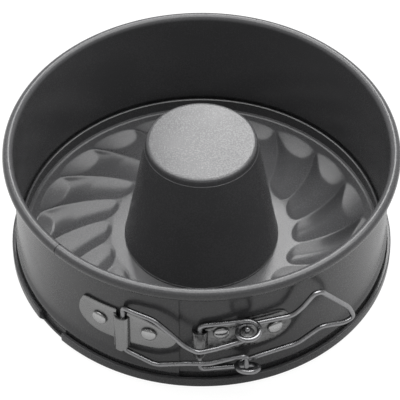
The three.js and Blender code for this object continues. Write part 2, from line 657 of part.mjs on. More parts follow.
const nonStick = { color: 0x45464a, roughness: 0.45, metalness: 0.35 };
const greyPlate = { color: 0x8c8d8f, roughness: 0.5, metalness: 0.6 };
const brightSteel = { color: 0xb9babd, roughness: 0.25, metalness: 1.0 };

const pan = new THREE.Group();

function addPiece(name, geometry, finish) {
  const mesh = new THREE.Mesh(geometry, new THREE.MeshStandardMaterial(finish));
  mesh.name = name;
  geometry.translate(0, AXIS_SETBACK, 0);
  pan.add(mesh);
}

addPiece('base_plate', basePlate(), nonStick);
addPiece('base_rim', baseRim(), nonStick);
addPiece('tube', tube(), nonStick);
addPiece('hoop', hoop(), nonStick);
addPiece('hoop_free_end', hoopFreeEnd(), nonStick);
addPiece('catch_plate', catchPlate(), greyPlate);
addPiece('hinge_plate', hingePlate(), greyPlate);
CATCH_RIVETS.forEach(({ azimuth, rise }, i) => {
  const seat = CATCH_PLATE_RADIUS + PLATE_SHEET;
  const geometry = rivet(seat, RIVET_SHANK_RADIUS, FREE_END_INNER_RADIUS, azimuth, CATCH_HEIGHT + rise);
  addPiece(`catch_rivet_${i + 1}`, geometry, greyPlate);
});
HINGE_RIVETS.forEach(({ azimuth, rise }, i) => {
  const seat = HINGE_PLATE_RADIUS + PLATE_SHEET;
  const geometry = rivet(seat, RIVET_TAIL_RADIUS, HOOP_INNER_RADIUS, azimuth, HINGE_HEIGHT + rise);
  addPiece(`hinge_rivet_${i + 1}`, geometry, greyPlate);
});
addPiece('link_bail', linkBail(), brightSteel);
addPiece('latch_lever', latchLever(), brightSteel);

export default pan;
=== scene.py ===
"""A small springform tube pan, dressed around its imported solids: coated base, tube and hoop, steel
plates and rivets, and the bright wires of the latch. Metres; azimuths are degrees about the pan's
axis from its front (-Y), growing to the right."""

import math

import bmesh
import bpy
import numpy as np
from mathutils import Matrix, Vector


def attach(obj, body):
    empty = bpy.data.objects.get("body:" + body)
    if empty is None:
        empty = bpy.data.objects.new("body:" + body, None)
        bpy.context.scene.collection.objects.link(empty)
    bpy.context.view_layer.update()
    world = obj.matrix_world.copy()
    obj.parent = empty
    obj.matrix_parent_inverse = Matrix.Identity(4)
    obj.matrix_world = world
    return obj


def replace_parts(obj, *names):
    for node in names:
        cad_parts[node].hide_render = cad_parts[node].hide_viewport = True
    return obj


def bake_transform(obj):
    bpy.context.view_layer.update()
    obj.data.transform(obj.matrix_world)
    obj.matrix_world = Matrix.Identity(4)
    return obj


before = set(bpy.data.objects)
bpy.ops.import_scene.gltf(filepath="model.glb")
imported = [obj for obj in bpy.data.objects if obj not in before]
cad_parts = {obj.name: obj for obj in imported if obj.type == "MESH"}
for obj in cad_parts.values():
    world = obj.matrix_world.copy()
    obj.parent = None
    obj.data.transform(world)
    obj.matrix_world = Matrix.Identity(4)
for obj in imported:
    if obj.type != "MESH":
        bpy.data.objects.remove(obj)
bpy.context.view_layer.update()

# The pan's axis stands this far behind the origin
AXIS_SETBACK = 0.0035
UP = np.array([0.0, 0.0, 1.0])

# Meshes: angle at which an edge stays sharp, how close points are one, sides of small round pieces,
# and the most of a straight run that the bend at its end takes up
SHARP_ANGLE = 40.0
MERGE_DISTANCE = 1e-7
ROUND_SIDES = 40
BEND_SHARE = 0.48

# Hoop: sheet, wall, rolled rim and the bead near the bottom
SHEET = 0.0007
HOOP_RADIUS = 0.080
HOOP_TOP = 0.0610
HOOP_BOTTOM = 0.0015
HOOP_STEP = 0.5
WALL_ROWS = 8
ROLL_RADIUS = 0.0023
ROLL_DROOP = 1.5
ROLL_MIDDLE = 0.0823
ROLL_POINTS = 36
BEAD_HEIGHT = 0.0092
BEAD_HALF_WIDTH = 0.0036
BEAD_DEPTH = 0.0010
BEAD_ROWS = 9

# Overlap of the hoop's ends. The outer layer's roll stops where the inner layer starts
OVERLAP_START = -45.0
OVERLAP_END = -6.5
ROLL_END = -45.22
ROLL_CUT = 0.03
STRIP_TOP = 0.0561
JOGGLE = 30.0
INNER_TUCK = 0.0005
LAYER_GAP = 0.0003
INNER_END_FACE = HOOP_RADIUS + SHEET
FREE_END_FACE = HOOP_RADIUS + 2 * SHEET + LAYER_GAP

# Radius, azimuth and height of a point at the back and of one at the front
BLEND_BACK = (0.076, 180.0, 0.03)
BLEND_FRONT = (0.044, 0.0, 0.03)

# Base: lip with its notch, collar, step and flat ring
LIP_INNER_RADIUS = 0.0819
LIP_TOP = 0.0056
LIP_WIDTH = 0.0017
LIP_FOOT = 0.0013
LIP_ROUNDING = 0.0004
LIP_WALL_SHARES = (0.5, 0.6)
LIP_NOTCH = (-56.0, -46.0)
LIP_NOTCH_SOFTNESS = 0.4
LIP_NOTCH_LEVEL = 0.0016
LIP_NOTCH_LEFT = 0.0002
LIP_TOLERANCE = 1e-5
COLLAR_RADIUS = 0.0798
COLLAR_THICKNESS = 0.0011
COLLAR_TOP = 0.0108
COLLAR_BEVEL = 0.00026
COLLAR_ROUNDING = 0.0002
STEP_RADIUS = 0.0770
STEP_WIDTH = 0.0008
STEP_RISE = 0.00034
STEP_FILLET = 0.0002
STEP_HEIGHT = 0.0046
STEP_FACE = STEP_HEIGHT + SHEET / 2
FLAT_RING_RADIUS = 0.040
FLAT_RING_HEIGHT = 0.0058
FOOT_RING_RADIUS = 0.036
HOLE_RADIUS = 0.0334

# Flutes: sizes at the marked radii, then their spoon ends and heels
FLUTE_COUNT = 20
FLUTE_SWIRL = 20.0
FLUTE_MARKS = (0.040, 0.050, 0.058, 0.064, 0.072)
FLUTE_DEPTHS = (0.0008, 0.0018, 0.0026, 0.0032, 0.0036)
FLUTE_VALLEYS = (0.50, 0.58, 0.62, 0.58, 0.50)
FLUTE_BOWS = (1.7, 1.7, 1.9, 2.5, 3.0)
FLUTE_STEEP_BOWS = (1.6, 1.6, 1.8, 2.4, 3.0)
FLUTE_RIDGE = 0.12
FLUTE_EDGE = 0.0002
FLUTE_END_RADIUS = 0.0746
FLUTE_END_MARGIN = 0.0002
FLUTE_SPOON = 0.34
FLUTE_TIP = 0.0030
FLUTE_HEEL = 0.42
FLUTE_CUSP = 0.006
FLUTE_LEAD_IN = 0.001
FLUTE_RINGS = 60
ROWS_PER_FLUTE = 40

# Tube, with a faint ledge below its shoulder
TUBE_TOP = 0.0628
TUBE_TOP_RADIUS = 0.0236
TUBE_SHOULDER = 0.0018
TUBE_FOOT_RADIUS = 0.0338
TUBE_FLANGE = 0.0002
TUBE_ROWS = 192
LEDGE_DROP = 0.0031
LEDGE_SLOPE = 0.2
LEDGE_WIDTH = 0.00022

# Latch wires
WIRE_RADIUS = 0.0011
WIRE_SIDES = 20
WIRE_STEP = 0.00035
WIRE_END_TURNS = (80, 60, 40, 20)
WIRE_FIRST_SIDE = (0.3, 0.5, 0.8)
LATCH_HEIGHT = 0.0281
CATCH_AZIMUTH = -23.3
HINGE_AZIMUTH = -0.5
LINK_BEND = 0.0024
LEVER_BEND = 0.0026

# Upright runs of the wires: radius, and rises above the latch's middle in the order of the wire
HOOK_RADIUS = 0.0862
UPPER_HOOK = (0.0112, 0.0047)
LOWER_HOOK = (-0.0057, -0.0124)
LINK_LEG_RADIUS = 0.0831
LINK_LEG_SHIFT = 0.6
LINK_LEG = (0.0161, -0.0105)
LEVER_LEG_RADIUS = 0.0821
LEVER_UPPER_LEG = (0.0006, 0.0110)
LEVER_LOWER_LEG = (-0.0170, -0.0006)

# Bends of the wires: radius, azimuth and rise
LINK_UPPER_ARM = [
    (0.0875, 3.7, 0.0025),
    (0.0880, -1.0, 0.0008),
    (0.0873, -4.8, 0.0042),
    (0.0865, -8.9, 0.0109),
    (0.0852, -13.2, 0.0156),
    (0.0844, -19.4, 0.0168),
]
LINK_LOWER_ARM = [
    (0.0850, -12.9, -0.0130),
    (0.0865, -3.5, -0.0079),
    (0.0865, 1.9, -0.0081),
    (0.0862, 8.9, -0.0057),
]
LEVER_HANDLE = [
    (0.0850, 25.8, 0.0109),
    (0.0860, 28.4, 0.0148),
    (0.0870, 31.6, 0.0216),
    (0.0875, 33.6, 0.0214),
    (0.0900, 42.5, 0.0040),
    (0.0905, 44.3, -0.0036),
    (0.0900, 41.3, -0.0040),
    (0.0875, 34.3, -0.0010),
    (0.0850, 27.8, -0.0083),
]

# Eyes of the lever: rises at which the wire enters and leaves, and lift of the outer edge
EYE_RADIUS = 0.0045
EYE_AZIMUTH = 12.4
EYE_POINTS = 48
EYE_ARM_RADIUS = 0.0837
UPPER_EYE = (0.01355, 0.01105, 0.0)
LOWER_EYE = (-0.01115, -0.01485, 0.0046)

# Upset collar on the upper hook
HEAD_RADIUS = 0.0031
HEAD_RISE = 0.0089
HEAD_HALF = 0.0006
HEAD_CROWN = 1.2
HEAD_ROUNDING = 0.0006

# Plates: sheet, rows of points from edge to edge, and dimples round the rivets
PLATE_SHEET = 0.0010
PLATE_EDGE = 0.0005
PLATE_EDGE_SHARES = np.array([0.0, 0.0, 0.04, 0.1])
PLATE_EDGE_LIFTS = np.array(
    [0.0, PLATE_SHEET - PLATE_EDGE, PLATE_SHEET - 0.15 * PLATE_EDGE, PLATE_SHEET])
PLATE_MIDDLE_SHARES = np.linspace(0.18, 0.82, 22)
PLATE_TIP = 0.0001
DIMPLE_RADIUS = 0.0048
DIMPLE_FLAT = 0.6
DIMPLE_DEPTH = 0.00025

# Catch plate: its tips, and its edges as reach, share at which the end rounds off, and fullness
CATCH_MIDDLE = 0.0312
CATCH_TIPS = (-37.7, -7.2)
CATCH_TIP_DROP = 0.0016
CATCH_LEAF_GAP = 1.7
CATCH_COLUMNS = 60
CATCH_LEFT_LOW = (0.0092, 0.38, 2.0)
CATCH_LEFT_HIGH = (0.0092, 0.74, 2.6)
CATCH_RIGHT_LOW = (0.0078, 0.45, 2.2)
CATCH_RIGHT_HIGH = 0.0108
CATCH_RIGHT_BOW = 1.9

# Hinge plate: its edges' reach against the share of the way to its tip, and their rounding off
HINGE_MIDDLE = 0.0314
HINGE_TIP = 26.7
HINGE_LEAF_GAP = 1.5
HINGE_COLUMNS = 90
HINGE_LOW_REACH = ((0.0, 0.38, 1.0), (0.0113, 0.0090, 0.0086))
HINGE_LOW_END = (0.6, 2.4)
HINGE_HIGH_REACH = ((0.0, 0.5, 1.0), (0.0042, 0.0091, 0.0091))
HINGE_HIGH_END = (0.78, 2.4)

# Saddles: half width inside, lowest and highest edge, and the shape of the arch
CATCH_SADDLE = (0.0023, 0.0180, 0.0384)
HINGE_SADDLE = (0.0020, 0.0198, 0.0352)
SADDLE_FOOT = 0.0003
SADDLE_SINK = 0.0002
SADDLE_CROWN = 0.0024
SADDLE_EDGE = 0.0003
SADDLE_OPENING = 0.0026
SADDLE_POINTS = 25

# Rivets: head, shank, and places as azimuth and height
RIVET_RADIUS = 0.0033
RIVET_HEIGHT = 0.0018
RIVET_RIM = 0.35
RIVET_FILLET = 0.0003
SHANK_RADIUS = 0.0015
SHANK_DEPTH = 0.0012
CATCH_RIVETS = [(-30.5, 0.0316), (-15.2, 0.0310)]
HINGE_RIVETS = [(5.6, 0.0336), (21.7, 0.0312)]

# Speckle: how grain and patches mix, and the values between which a finish goes from low to high
GRAIN_SHARE = 0.6
PATCH_SHARE = 0.4
COLOUR_RANGE = (0.3, 0.7)
ROUGHNESS_RANGE = (0.38, 0.62)
GLOSS_RANGE = (0.34, 0.66)

# Floor: its disc, its grey, its glow, and how near the pan the glow that reflections see is painted
# darker as a contact shadow
FLOOR_RADIUS = 4.0
FLOOR_DROP = 0.0001
FLOOR_GREY = 0.10
FLOOR_GLOW = 0.93
FLOOR_SHADE_REACH = 0.06

# Brightness of the surroundings, against the height of the direction from 0 level to 1 upright
AIR_LEVELS = [(0.05, 0.35), (0.3, 0.5), (0.7, 0.5), (0.95, 0.4)]

# Softboxes: azimuth, elevation, distance, size and brightness
BACK_SOFTBOX = (172.5, 46.0, 1.4, (0.46, 0.5), 11.0)
OVERHEAD_SOFTBOX = (167.0, 82.2, 1.31, (2.0, 1.15), 5.2)
SOFTBOX_TARGET = (0.0, AXIS_SETBACK, 0.03)

# Camera of the photograph
CAMERA_DISTANCE = 0.93977
CAMERA_ELEVATION = 46.73
CAMERA_LENS = 194.0
CAMERA_SENSOR = 36.0
CAMERA_CLIP = (0.01, 20.0)
CAMERA_TARGET = (-0.00067, AXIS_SETBACK, 0.0262)


# Points and meshes

def around(radius, azimuth, height):
    """Points at a radius, an azimuth and a height; each may be a number or an array."""
    angle = np.radians(azimuth)
    x, y, z = np.broadcast_arrays(
        radius * np.sin(angle), AXIS_SETBACK - radius * np.cos(angle), height)
    return np.stack([x, y, z], axis=-1).astype(float)


def heading(azimuth):
    """Level direction away from the pan's axis at an azimuth."""
    angle = math.radians(azimuth)
    return np.array([math.sin(angle), -math.cos(angle), 0.0])


def smoothstep(low, high, value):
    """Goes gently from 0 to 1 as a value goes from low to high."""
    share = np.clip((value - low) / (high - low), 0.0, 1.0)
    return share * share * (3.0 - 2.0 * share)


def bent(points, trim, steps):
    """A line of points with each corner rounded from trim before it to trim after it."""
    points = [np.asarray(p, float) for p in points]
    result = [points[0]]
    for before, corner, after in zip(points, points[1:], points[2:]):
        reach_in, reach_out = np.linalg.norm(before - corner), np.linalg.norm(after - corner)
        short = min(trim, BEND_SHARE * reach_in, BEND_SHARE * reach_out)
        into = corner + (before - corner) * short / reach_in
        out = corner + (after - corner) * short / reach_out
        for k in range(steps + 1):
            u = k / steps
            result.append((1 - u) ** 2 * into + 2 * u * (1 - u) * corner + u ** 2 * out)
    result.append(points[-1])
    return np.array(result)


def evenly(path, step):
    """The same line with points an even step apart."""
    lengths = np.r_[0, np.cumsum(np.linalg.norm(np.diff(path, axis=0), axis=1))]
    marks = np.linspace(0, lengths[-1], max(2, int(round(lengths[-1] / step))))
    return np.stack([np.interp(marks, lengths, path[:, k]) for k in range(3)], axis=-1)


def spun(section, centre, first, second, axis):
    """Grid of a small round piece: a section turned about an axis, from first towards second."""
    rows = []
    for turn in np.arange(ROUND_SIDES) * 2 * np.pi / ROUND_SIDES:
        side = math.cos(turn) * first + math.sin(turn) * second
        rows.append(centre + section[:, :1] * side + section[:, 1:] * axis)
    return np.array(rows), True, False, False


def skin(name, grids, material, last_material=None):
    """One mesh object from grids of points. A grid is (points, rows closed, columns closed, caps).

    The last grid may have a material of its own.
    """
    mesh = bpy.data.meshes.new(name)
    shell = bmesh.new()
    for points, close_rows, close_columns, caps in grids:
        first_face = len(shell.faces)
        rows, columns = points.shape[:2]
        verts = [[shell.verts.new(p) for p in row] for row in points]
        for i in range(rows if close_rows else rows - 1):
            here, there = verts[i], verts[(i + 1) % rows]
            for j in range(columns if close_columns else columns - 1):
                k = (j + 1) % columns
                shell.faces.new((here[j], here[k], there[k], there[j]))
        if caps:
            shell.faces.new(verts[0])
            shell.faces.new(verts[-1])
    if last_material:
        for face in list(shell.faces)[first_face:]:
            face.material_index = 1
    bmesh.ops.remove_doubles(shell, verts=shell.verts, dist=MERGE_DISTANCE)
    bmesh.ops.recalc_face_normals(shell, faces=shell.faces)
    bmesh.ops.triangulate(shell, faces=[f for f in shell.faces if len(f.verts) > 4])
    shell.to_mesh(mesh)
    shell.free()
    mesh.shade_smooth()
    mesh.set_sharp_from_angle(angle=math.radians(SHARP_ANGLE))
    obj = bpy.data.objects.new(name, mesh)
    bpy.context.scene.collection.objects.link(obj)
    mesh.materials.append(material)
    if last_material:
        mesh.materials.append(last_material)
    return obj


# Materials

def noise(tree, place, scale, detail):
    """Value of a noise at a place, with its scale from a socket."""
    node = tree.nodes.new("ShaderNodeTexNoise")
    node.inputs["Detail"].default_value = detail
    tree.links.new(place, node.inputs["Vector"])
    tree.links.new(scale, node.inputs["Scale"])
    return node.outputs["Fac"]


def math_node(tree, operation, first, second):
    """Result of an operation on two values, each a number or a socket."""
    node = tree.nodes.new("ShaderNodeMath")
    node.operation = operation
    for socket, value in zip(node.inputs, (first, second)):
        if isinstance(value, float):
            socket.default_value = value
        else:
            tree.links.new(value, socket)
    return node.outputs[0]


def ramp(tree, value, colours, limits):
    """Colours from the first to the second as a value goes between two limits."""
    node = tree.nodes.new("ShaderNodeValToRGB")
    for stop, colour, position in zip(node.color_ramp.elements, colours, limits):
        stop.position = position
        stop.color = (*colour, 1.0)
    tree.links.new(value, node.inputs["Fac"])
    return node.outputs["Color"]


def span(tree, value, results, limits):
    """A value from the first result to the second as another goes between two limits."""
    node = tree.nodes.new("ShaderNodeMapRange")
    labels = ("From Min", "From Max", "To Min", "To Max")
    for label, number in zip(labels, (*limits, *results)):
        node.inputs[label].default_value = number
    tree.links.new(value, node.inputs["Value"])
    return node.outputs["Result"]


def speckle_group():
    """Fine grain of a sprayed or tumbled surface, with broad soft patches under it."""
    group = bpy.data.node_groups.new("fine speckle", "ShaderNodeTree")
    for label in ("Grain per metre", "Patches per metre"):
        group.interface.new_socket(label, in_out="INPUT", socket_type="NodeSocketFloat")
    for label in ("Grain", "Patches"):
        group.interface.new_socket(label, in_out="OUTPUT", socket_type="NodeSocketFloat")
    given = group.nodes.new("NodeGroupInput")
    put = group.nodes.new("NodeGroupOutput")
    place = group.nodes.new("ShaderNodeTexCoord").outputs["Object"]
    for label, detail in (("Grain", 2.0), ("Patches", 3.0)):
        mottle = noise(group, place, given.outputs[label + " per metre"], detail)
        group.links.new(mottle, put.inputs[label])
    return group


def speckled_material(name, grain, patches, colours, roughness, bump, gloss=None, **constants):
    """A Principled surface whose colour, roughness, bump and gloss coat follow the speckle."""
    material = bpy.data.materials.new(name)
    material.use_nodes = True
    tree = material.node_tree
    shader = tree.nodes["Principled BSDF"]
    for label, value in constants.items():
        shader.inputs[label.replace("_", " ")].default_value = value
    mottle = tree.nodes.new("ShaderNodeGroup")
    mottle.node_tree = speckle
    mottle.inputs["Grain per metre"].default_value = grain
    mottle.inputs["Patches per metre"].default_value = patches
    mixed = math_node(tree, "ADD",
                      math_node(tree, "MULTIPLY", mottle.outputs["Grain"], GRAIN_SHARE),
                      math_node(tree, "MULTIPLY", mottle.outputs["Patches"], PATCH_SHARE))
    tree.links.new(ramp(tree, mixed, colours, COLOUR_RANGE), shader.inputs["Base Color"])
    tree.links.new(span(tree, mixed, roughness, ROUGHNESS_RANGE), shader.inputs["Roughness"])
    if gloss:
        tree.links.new(span(tree, mottle.outputs["Grain"], gloss, GLOSS_RANGE),
                       shader.inputs["Coat Weight"])
    lift = tree.nodes.new("ShaderNodeBump")
    lift.inputs["Strength"].default_value = 1.0
    lift.inputs["Distance"].default_value = bump
    tree.links.new(mottle.outputs["Grain"], lift.inputs["Height"])
    tree.links.new(lift.outputs["Normal"], shader.inputs["Normal"])
    return material


def greys(dark, light, tint=0.0):
    """Two near greys, each with a little more blue."""
    return (dark, dark, dark + tint), (light, light, light + tint)


speckle = speckle_group()
coating = dict(IOR=1.30, Coat_Roughness=0.22)
satin_coating = speckled_material(
    "satin dark coating", 1700.0, 45.0, greys(0.048, 0.063, 0.002), (0.18, 0.32), 0.00003,
    gloss=(0.21, 0.39), **coating)
tube_coating = speckled_material(
    "grainy tube coating", 1500.0, 45.0, greys(0.048, 0.063, 0.002), (0.14, 0.36), 0.00004,
    gloss=(0.0, 0.6), **coating)
plate_steel = speckled_material(
    "matt plate steel", 1800.0, 120.0, greys(0.18, 0.25), (0.22, 0.36), 0.00002, Metallic=1.0)
# Hinge plate: the same steel as the catch plate, painted darker, with broad dark and light patches
# as painted shade and painted reflections
painted_shade_hinge_steel = speckled_material(
    "hinge steel with painted shade", 700.0, 240.0, greys(0.07, 0.22), (0.20, 0.40), 0.00003, Metallic=1.0)
rivet_steel = speckled_material(
    "satin rivet steel", 1600.0, 150.0, greys(0.30, 0.38), (0.16, 0.28), 0.00001, Metallic=1.0)
bright_wire = speckled_material(
    "bright drawn wire", 900.0, 90.0, greys(0.20, 0.27, 0.005), (0.25, 0.35), 0.000002,
    Metallic=1.0)
head_steel = speckled_material(
    "upset hook head", 900.0, 260.0, greys(0.13, 0.29), (0.45, 0.60), 0.00006, Metallic=1.0)


# Base and tube

def nearly_least(first, second, blur):
    """The lesser of two values, with the change between them rounded off."""
    return 0.5 * (first + second - np.sqrt((first - second) ** 2 + blur ** 2))


def flute_drop(radius, across):
    """Depth of the flutes below their ridges, at a place across a flute from 0 to 1."""
    depth, valley, gentle_bow, steep_bow = (
        np.interp(radius, FLUTE_MARKS, sizes)
        for sizes in (FLUTE_DEPTHS, FLUTE_VALLEYS, FLUTE_BOWS, FLUTE_STEEP_BOWS))
    gentle = np.clip((valley - across) / valley, 0.0, 1.0) ** gentle_bow
    steep = np.clip((across - valley) / (1.0 - valley), 0.0, 1.0) ** steep_bow
    hollow = np.sqrt((1.0 - gentle - steep) ** 2 + FLUTE_RIDGE ** 2) - FLUTE_RIDGE
    rounding = 1.0 - np.sqrt(1.0 - np.abs(2.0 * across - 1.0) ** 2)
    spoon = FLUTE_SPOON * (FLUTE_END_RADIUS - FLUTE_TIP * rounding - radius)
    heel = FLUTE_HEEL * (radius - FLAT_RING_RADIUS - FLUTE_CUSP * rounding)
    drop = nearly_least(nearly_least(depth * hollow, spoon, FLUTE_EDGE), heel, FLUTE_EDGE)
    return np.maximum(drop, 0.0)


def floor_height(radius):
    """Height of the flutes' ridges, which slope from the flat ring down to the step."""
    return np.interp(radius, [FLAT_RING_RADIUS, FLUTE_END_RADIUS], [FLAT_RING_HEIGHT, STEP_FACE])


def lip_section():
    """Outside of the base from the step over collar and trough to the lip, and back underneath."""
    collar_inner = COLLAR_RADIUS - COLLAR_THICKNESS
    lip_outer = LIP_INNER_RADIUS + LIP_WIDTH
    foot = bent([
        (FLUTE_END_RADIUS + FLUTE_END_MARGIN, STEP_FACE),
        (STEP_RADIUS, STEP_FACE),
        (STEP_RADIUS + STEP_WIDTH, STEP_FACE + STEP_RISE),
        (collar_inner, STEP_FACE + STEP_RISE),
        (collar_inner, COLLAR_TOP - 2 * COLLAR_BEVEL),
    ], STEP_FILLET, steps=5)
    crown = bent([
        (collar_inner, COLLAR_TOP - COLLAR_BEVEL),
        (collar_inner + 0.5 * COLLAR_THICKNESS, COLLAR_TOP),
        (COLLAR_RADIUS, COLLAR_TOP - COLLAR_BEVEL),
        (COLLAR_RADIUS, SHEET),
        (LIP_INNER_RADIUS, SHEET),
        (LIP_INNER_RADIUS, LIP_WALL_SHARES[0] * LIP_TOP),
    ], COLLAR_ROUNDING, steps=4)
    hem = bent([
        (LIP_INNER_RADIUS, LIP_WALL_SHARES[1] * LIP_TOP),
        (LIP_INNER_RADIUS, LIP_TOP),
        (lip_outer, LIP_TOP),
        (lip_outer, LIP_FOOT),
        (LIP_INNER_RADIUS, 0.0),
        (collar_inner, 0.0),
        (STEP_RADIUS, STEP_HEIGHT - SHEET),
    ], LIP_ROUNDING, steps=5)
    return np.vstack([foot, crown, hem])


def in_notch(azimuth):
    """1 in the lip's notch and 0 beside it, with softened ends."""
    turned = np.mod(azimuth + 180.0, 360.0) - 180.0
    past_start, past_end = (
        smoothstep(side - LIP_NOTCH_SOFTNESS, side + LIP_NOTCH_SOFTNESS, turned)
        for side in LIP_NOTCH)
    return past_start * (1.0 - past_end)


def make_base():
    """Pressed base: flutes on top and below, step, collar, trough and notched lip."""
    flute_radii = np.linspace(FLAT_RING_RADIUS - FLUTE_LEAD_IN, FLUTE_END_RADIUS, FLUTE_RINGS)
    top_radii = np.r_[HOLE_RADIUS, FOOT_RING_RADIUS, flute_radii]
    under_radii = top_radii[::-1]
    outside = lip_section()
    radii = np.r_[top_radii, outside[:, 0], under_radii]
    heights = np.r_[floor_height(top_radii), outside[:, 1], floor_height(under_radii) - SHEET]
    rows = FLUTE_COUNT * ROWS_PER_FLUTE
    azimuths = np.arange(rows) * 360.0 / rows
    across = np.mod(azimuths / (360.0 / FLUTE_COUNT) + 0.5, 1.0)
    radius, side = np.meshgrid(radii, across)
    height = np.tile(heights, (rows, 1)) - flute_drop(radius, side)
    inward = (FLUTE_END_RADIUS - radius) / (FLUTE_END_RADIUS - FLAT_RING_RADIUS)
    azimuth = azimuths[:, None] - FLUTE_SWIRL * np.clip(inward, 0.0, 1.0)
    cut = np.where(radius > LIP_INNER_RADIUS - LIP_TOLERANCE, in_notch(azimuth), 0.0)
    height = height + cut * (np.minimum(height, LIP_NOTCH_LEVEL) - height)
    radius = radius + cut * (np.minimum(radius, LIP_INNER_RADIUS + LIP_NOTCH_LEFT) - radius)
    return skin("fluted_base", [(around(radius, azimuth, height), True, True, False)],
                satin_coating)


def make_tube():
    """Drawn cone with a flat top, its inside, and a foot hemmed round the base's hole."""
    flange_radius = TUBE_FOOT_RADIUS + TUBE_FLANGE
    flange_top = FLAT_RING_HEIGHT + SHEET
    hem = FLAT_RING_HEIGHT - 2 * SHEET
    ledge_radius = TUBE_TOP_RADIUS + LEDGE_SLOPE * LEDGE_DROP
    ledge_height = TUBE_TOP - LEDGE_DROP
    outside = bent([
        (0.0, TUBE_TOP),
        (TUBE_TOP_RADIUS, TUBE_TOP),
        (ledge_radius, ledge_height),
        (ledge_radius + LEDGE_WIDTH, ledge_height - 0.5 * LEDGE_WIDTH),
        (TUBE_FOOT_RADIUS, flange_top),
        (flange_radius, flange_top),
        (flange_radius, FLAT_RING_HEIGHT),
    ], TUBE_SHOULDER, steps=8)
    inside = bent([
        (TUBE_FOOT_RADIUS, FLAT_RING_HEIGHT),
        (TUBE_FOOT_RADIUS, hem),
        (TUBE_FOOT_RADIUS - SHEET, hem),
        (TUBE_TOP_RADIUS - SHEET, TUBE_TOP - SHEET),
        (0.0, TUBE_TOP - SHEET),
    ], TUBE_SHOULDER / 2, steps=4)
    section = np.vstack([outside, inside])
    azimuths = np.arange(TUBE_ROWS) * 360.0 / TUBE_ROWS
    points = around(section[None, :, 0], azimuths[:, None], section[None, :, 1])
    return skin("centre_tube", [(points, True, False, False)], tube_coating)


# Hoop

def wall_section(radius, roll_radius, roll_middle, top):
    """Section of the hoop: upright sheet with a bead low down and a rolled edge at its top."""
    outer = radius + SHEET
    share = np.linspace(-1, 1, BEAD_ROWS)
    bulge = np.r_[0.0, BEAD_DEPTH * (1 - share ** 2) ** 2, np.zeros(WALL_ROWS)]
    above = np.linspace(BEAD_HEIGHT + 2 * BEAD_HALF_WIDTH, top - 4 * roll_radius, WALL_ROWS)
    heights = np.r_[HOOP_BOTTOM, BEAD_HEIGHT + BEAD_HALF_WIDTH * share, above]
    meet = math.degrees(math.acos(max(-1.0, (roll_middle - outer) / roll_radius)))
    turn = np.radians(np.linspace(180, -180 + meet, ROLL_POINTS))
    droop = np.where(turn < 0.0, ROLL_DROOP, 1.0)
    roll = np.c_[roll_middle + roll_radius * np.cos(turn),
                 top - roll_radius + droop * roll_radius * np.sin(turn)]
    inner_face, outer_face = np.c_[radius + bulge, heights], np.c_[outer + bulge, heights]
    return np.vstack([inner_face, roll, outer_face[::-1]])


def band_grid(start, end, layer_at):
    """A stretch of the hoop between two azimuths; layer_at gives the section's sizes at each."""
    rows = []
    for azimuth in np.linspace(start, end, int(abs(end - start) / HOOP_STEP) + 1):
        section = wall_section(*layer_at(azimuth))
        rows.append(around(section[:, 0], azimuth, section[:, 1]))
    return np.array(rows)


def inner_layer(azimuth):
    """The inner layer, tucked in a little where the outer layer's roll stops."""
    tuck = INNER_TUCK * (1.0 - smoothstep(OVERLAP_START, OVERLAP_END, azimuth))
    return HOOP_RADIUS - tuck, ROLL_RADIUS, ROLL_MIDDLE, HOOP_TOP


def outer_radius(azimuth):
    """Inside of the outer layer, which steps out over the inner layer as it comes up to it."""
    step = smoothstep(ROLL_END - JOGGLE, ROLL_END, azimuth) * (SHEET + LAYER_GAP - INNER_TUCK)
    return HOOP_RADIUS + step + INNER_TUCK * smoothstep(OVERLAP_START, OVERLAP_END, azimuth)


def outer_layer(azimuth):
    """The outer layer with its rolled rim."""
    return outer_radius(azimuth), ROLL_RADIUS, ROLL_MIDDLE, HOOP_TOP


def outer_strip(azimuth):
    """The outer layer under the inner layer's rim, with a plain top edge."""
    return outer_radius(azimuth), SHEET / 2, outer_radius(azimuth) + SHEET / 2, STRIP_TOP


def make_hoop():
    """Inner end and right half of the hoop, up to the middle of the back."""
    band = band_grid(OVERLAP_START, 180.0, inner_layer)
    return skin("hoop_band", [(band, False, True, True)], satin_coating)


def make_wrap():
    """Left half of the hoop and its free end, which wraps round the inner end."""
    rolled = band_grid(-180.0, ROLL_END, outer_layer)
    plain = band_grid(ROLL_END + ROLL_CUT, OVERLAP_END, outer_strip)
    wrap_grid = (np.concatenate([rolled, plain]), False, True, True)
    return skin("hoop_wrap", [wrap_grid], satin_coating)


# Plates and rivets

def saddle_arch(middle_radius, azimuth, channel, low, high):
    """Pressed-out strap over a wire's leg: an arch with flared feet, between two heights."""
    outer = channel + PLATE_SHEET
    wide = outer + SADDLE_FOOT
    rise = WIRE_RADIUS - SADDLE_SINK
    turns = np.radians(np.linspace(180, 0, SADDLE_POINTS))
    over = np.c_[outer * np.cos(turns), rise + SADDLE_CROWN * np.sin(turns)]
    under = np.c_[channel * np.cos(turns), rise + (SADDLE_CROWN - PLATE_SHEET) * np.sin(turns)]
    section = np.vstack([[(-wide, PLATE_SHEET)], over, [(wide, PLATE_SHEET)],
                         [(wide, 0.0)], under[::-1], [(-wide, 0.0)]])
    tangent, outward = heading(azimuth + 90.0), heading(azimuth)
    foot = around(middle_radius - WIRE_RADIUS, azimuth, 0.0)
    opening = smoothstep(0.0, outer, section[:, 0]) * SADDLE_OPENING
    rows = []
    for height, inset, lowest in ((low, SADDLE_EDGE, low + opening),
                                  (low + SADDLE_EDGE, 0.0, low + opening),
                                  (high - SADDLE_EDGE, 0.0, low),
                                  (high, SADDLE_EDGE, low)):
        lift = section[:, 1] - inset * (section[:, 1] > PLATE_SHEET)
        points = foot + section[:, :1] * tangent + lift[:, None] * outward
        points[:, 2] = np.maximum(height, lowest)
        rows.append(points)
    return np.array(rows), False, True, True


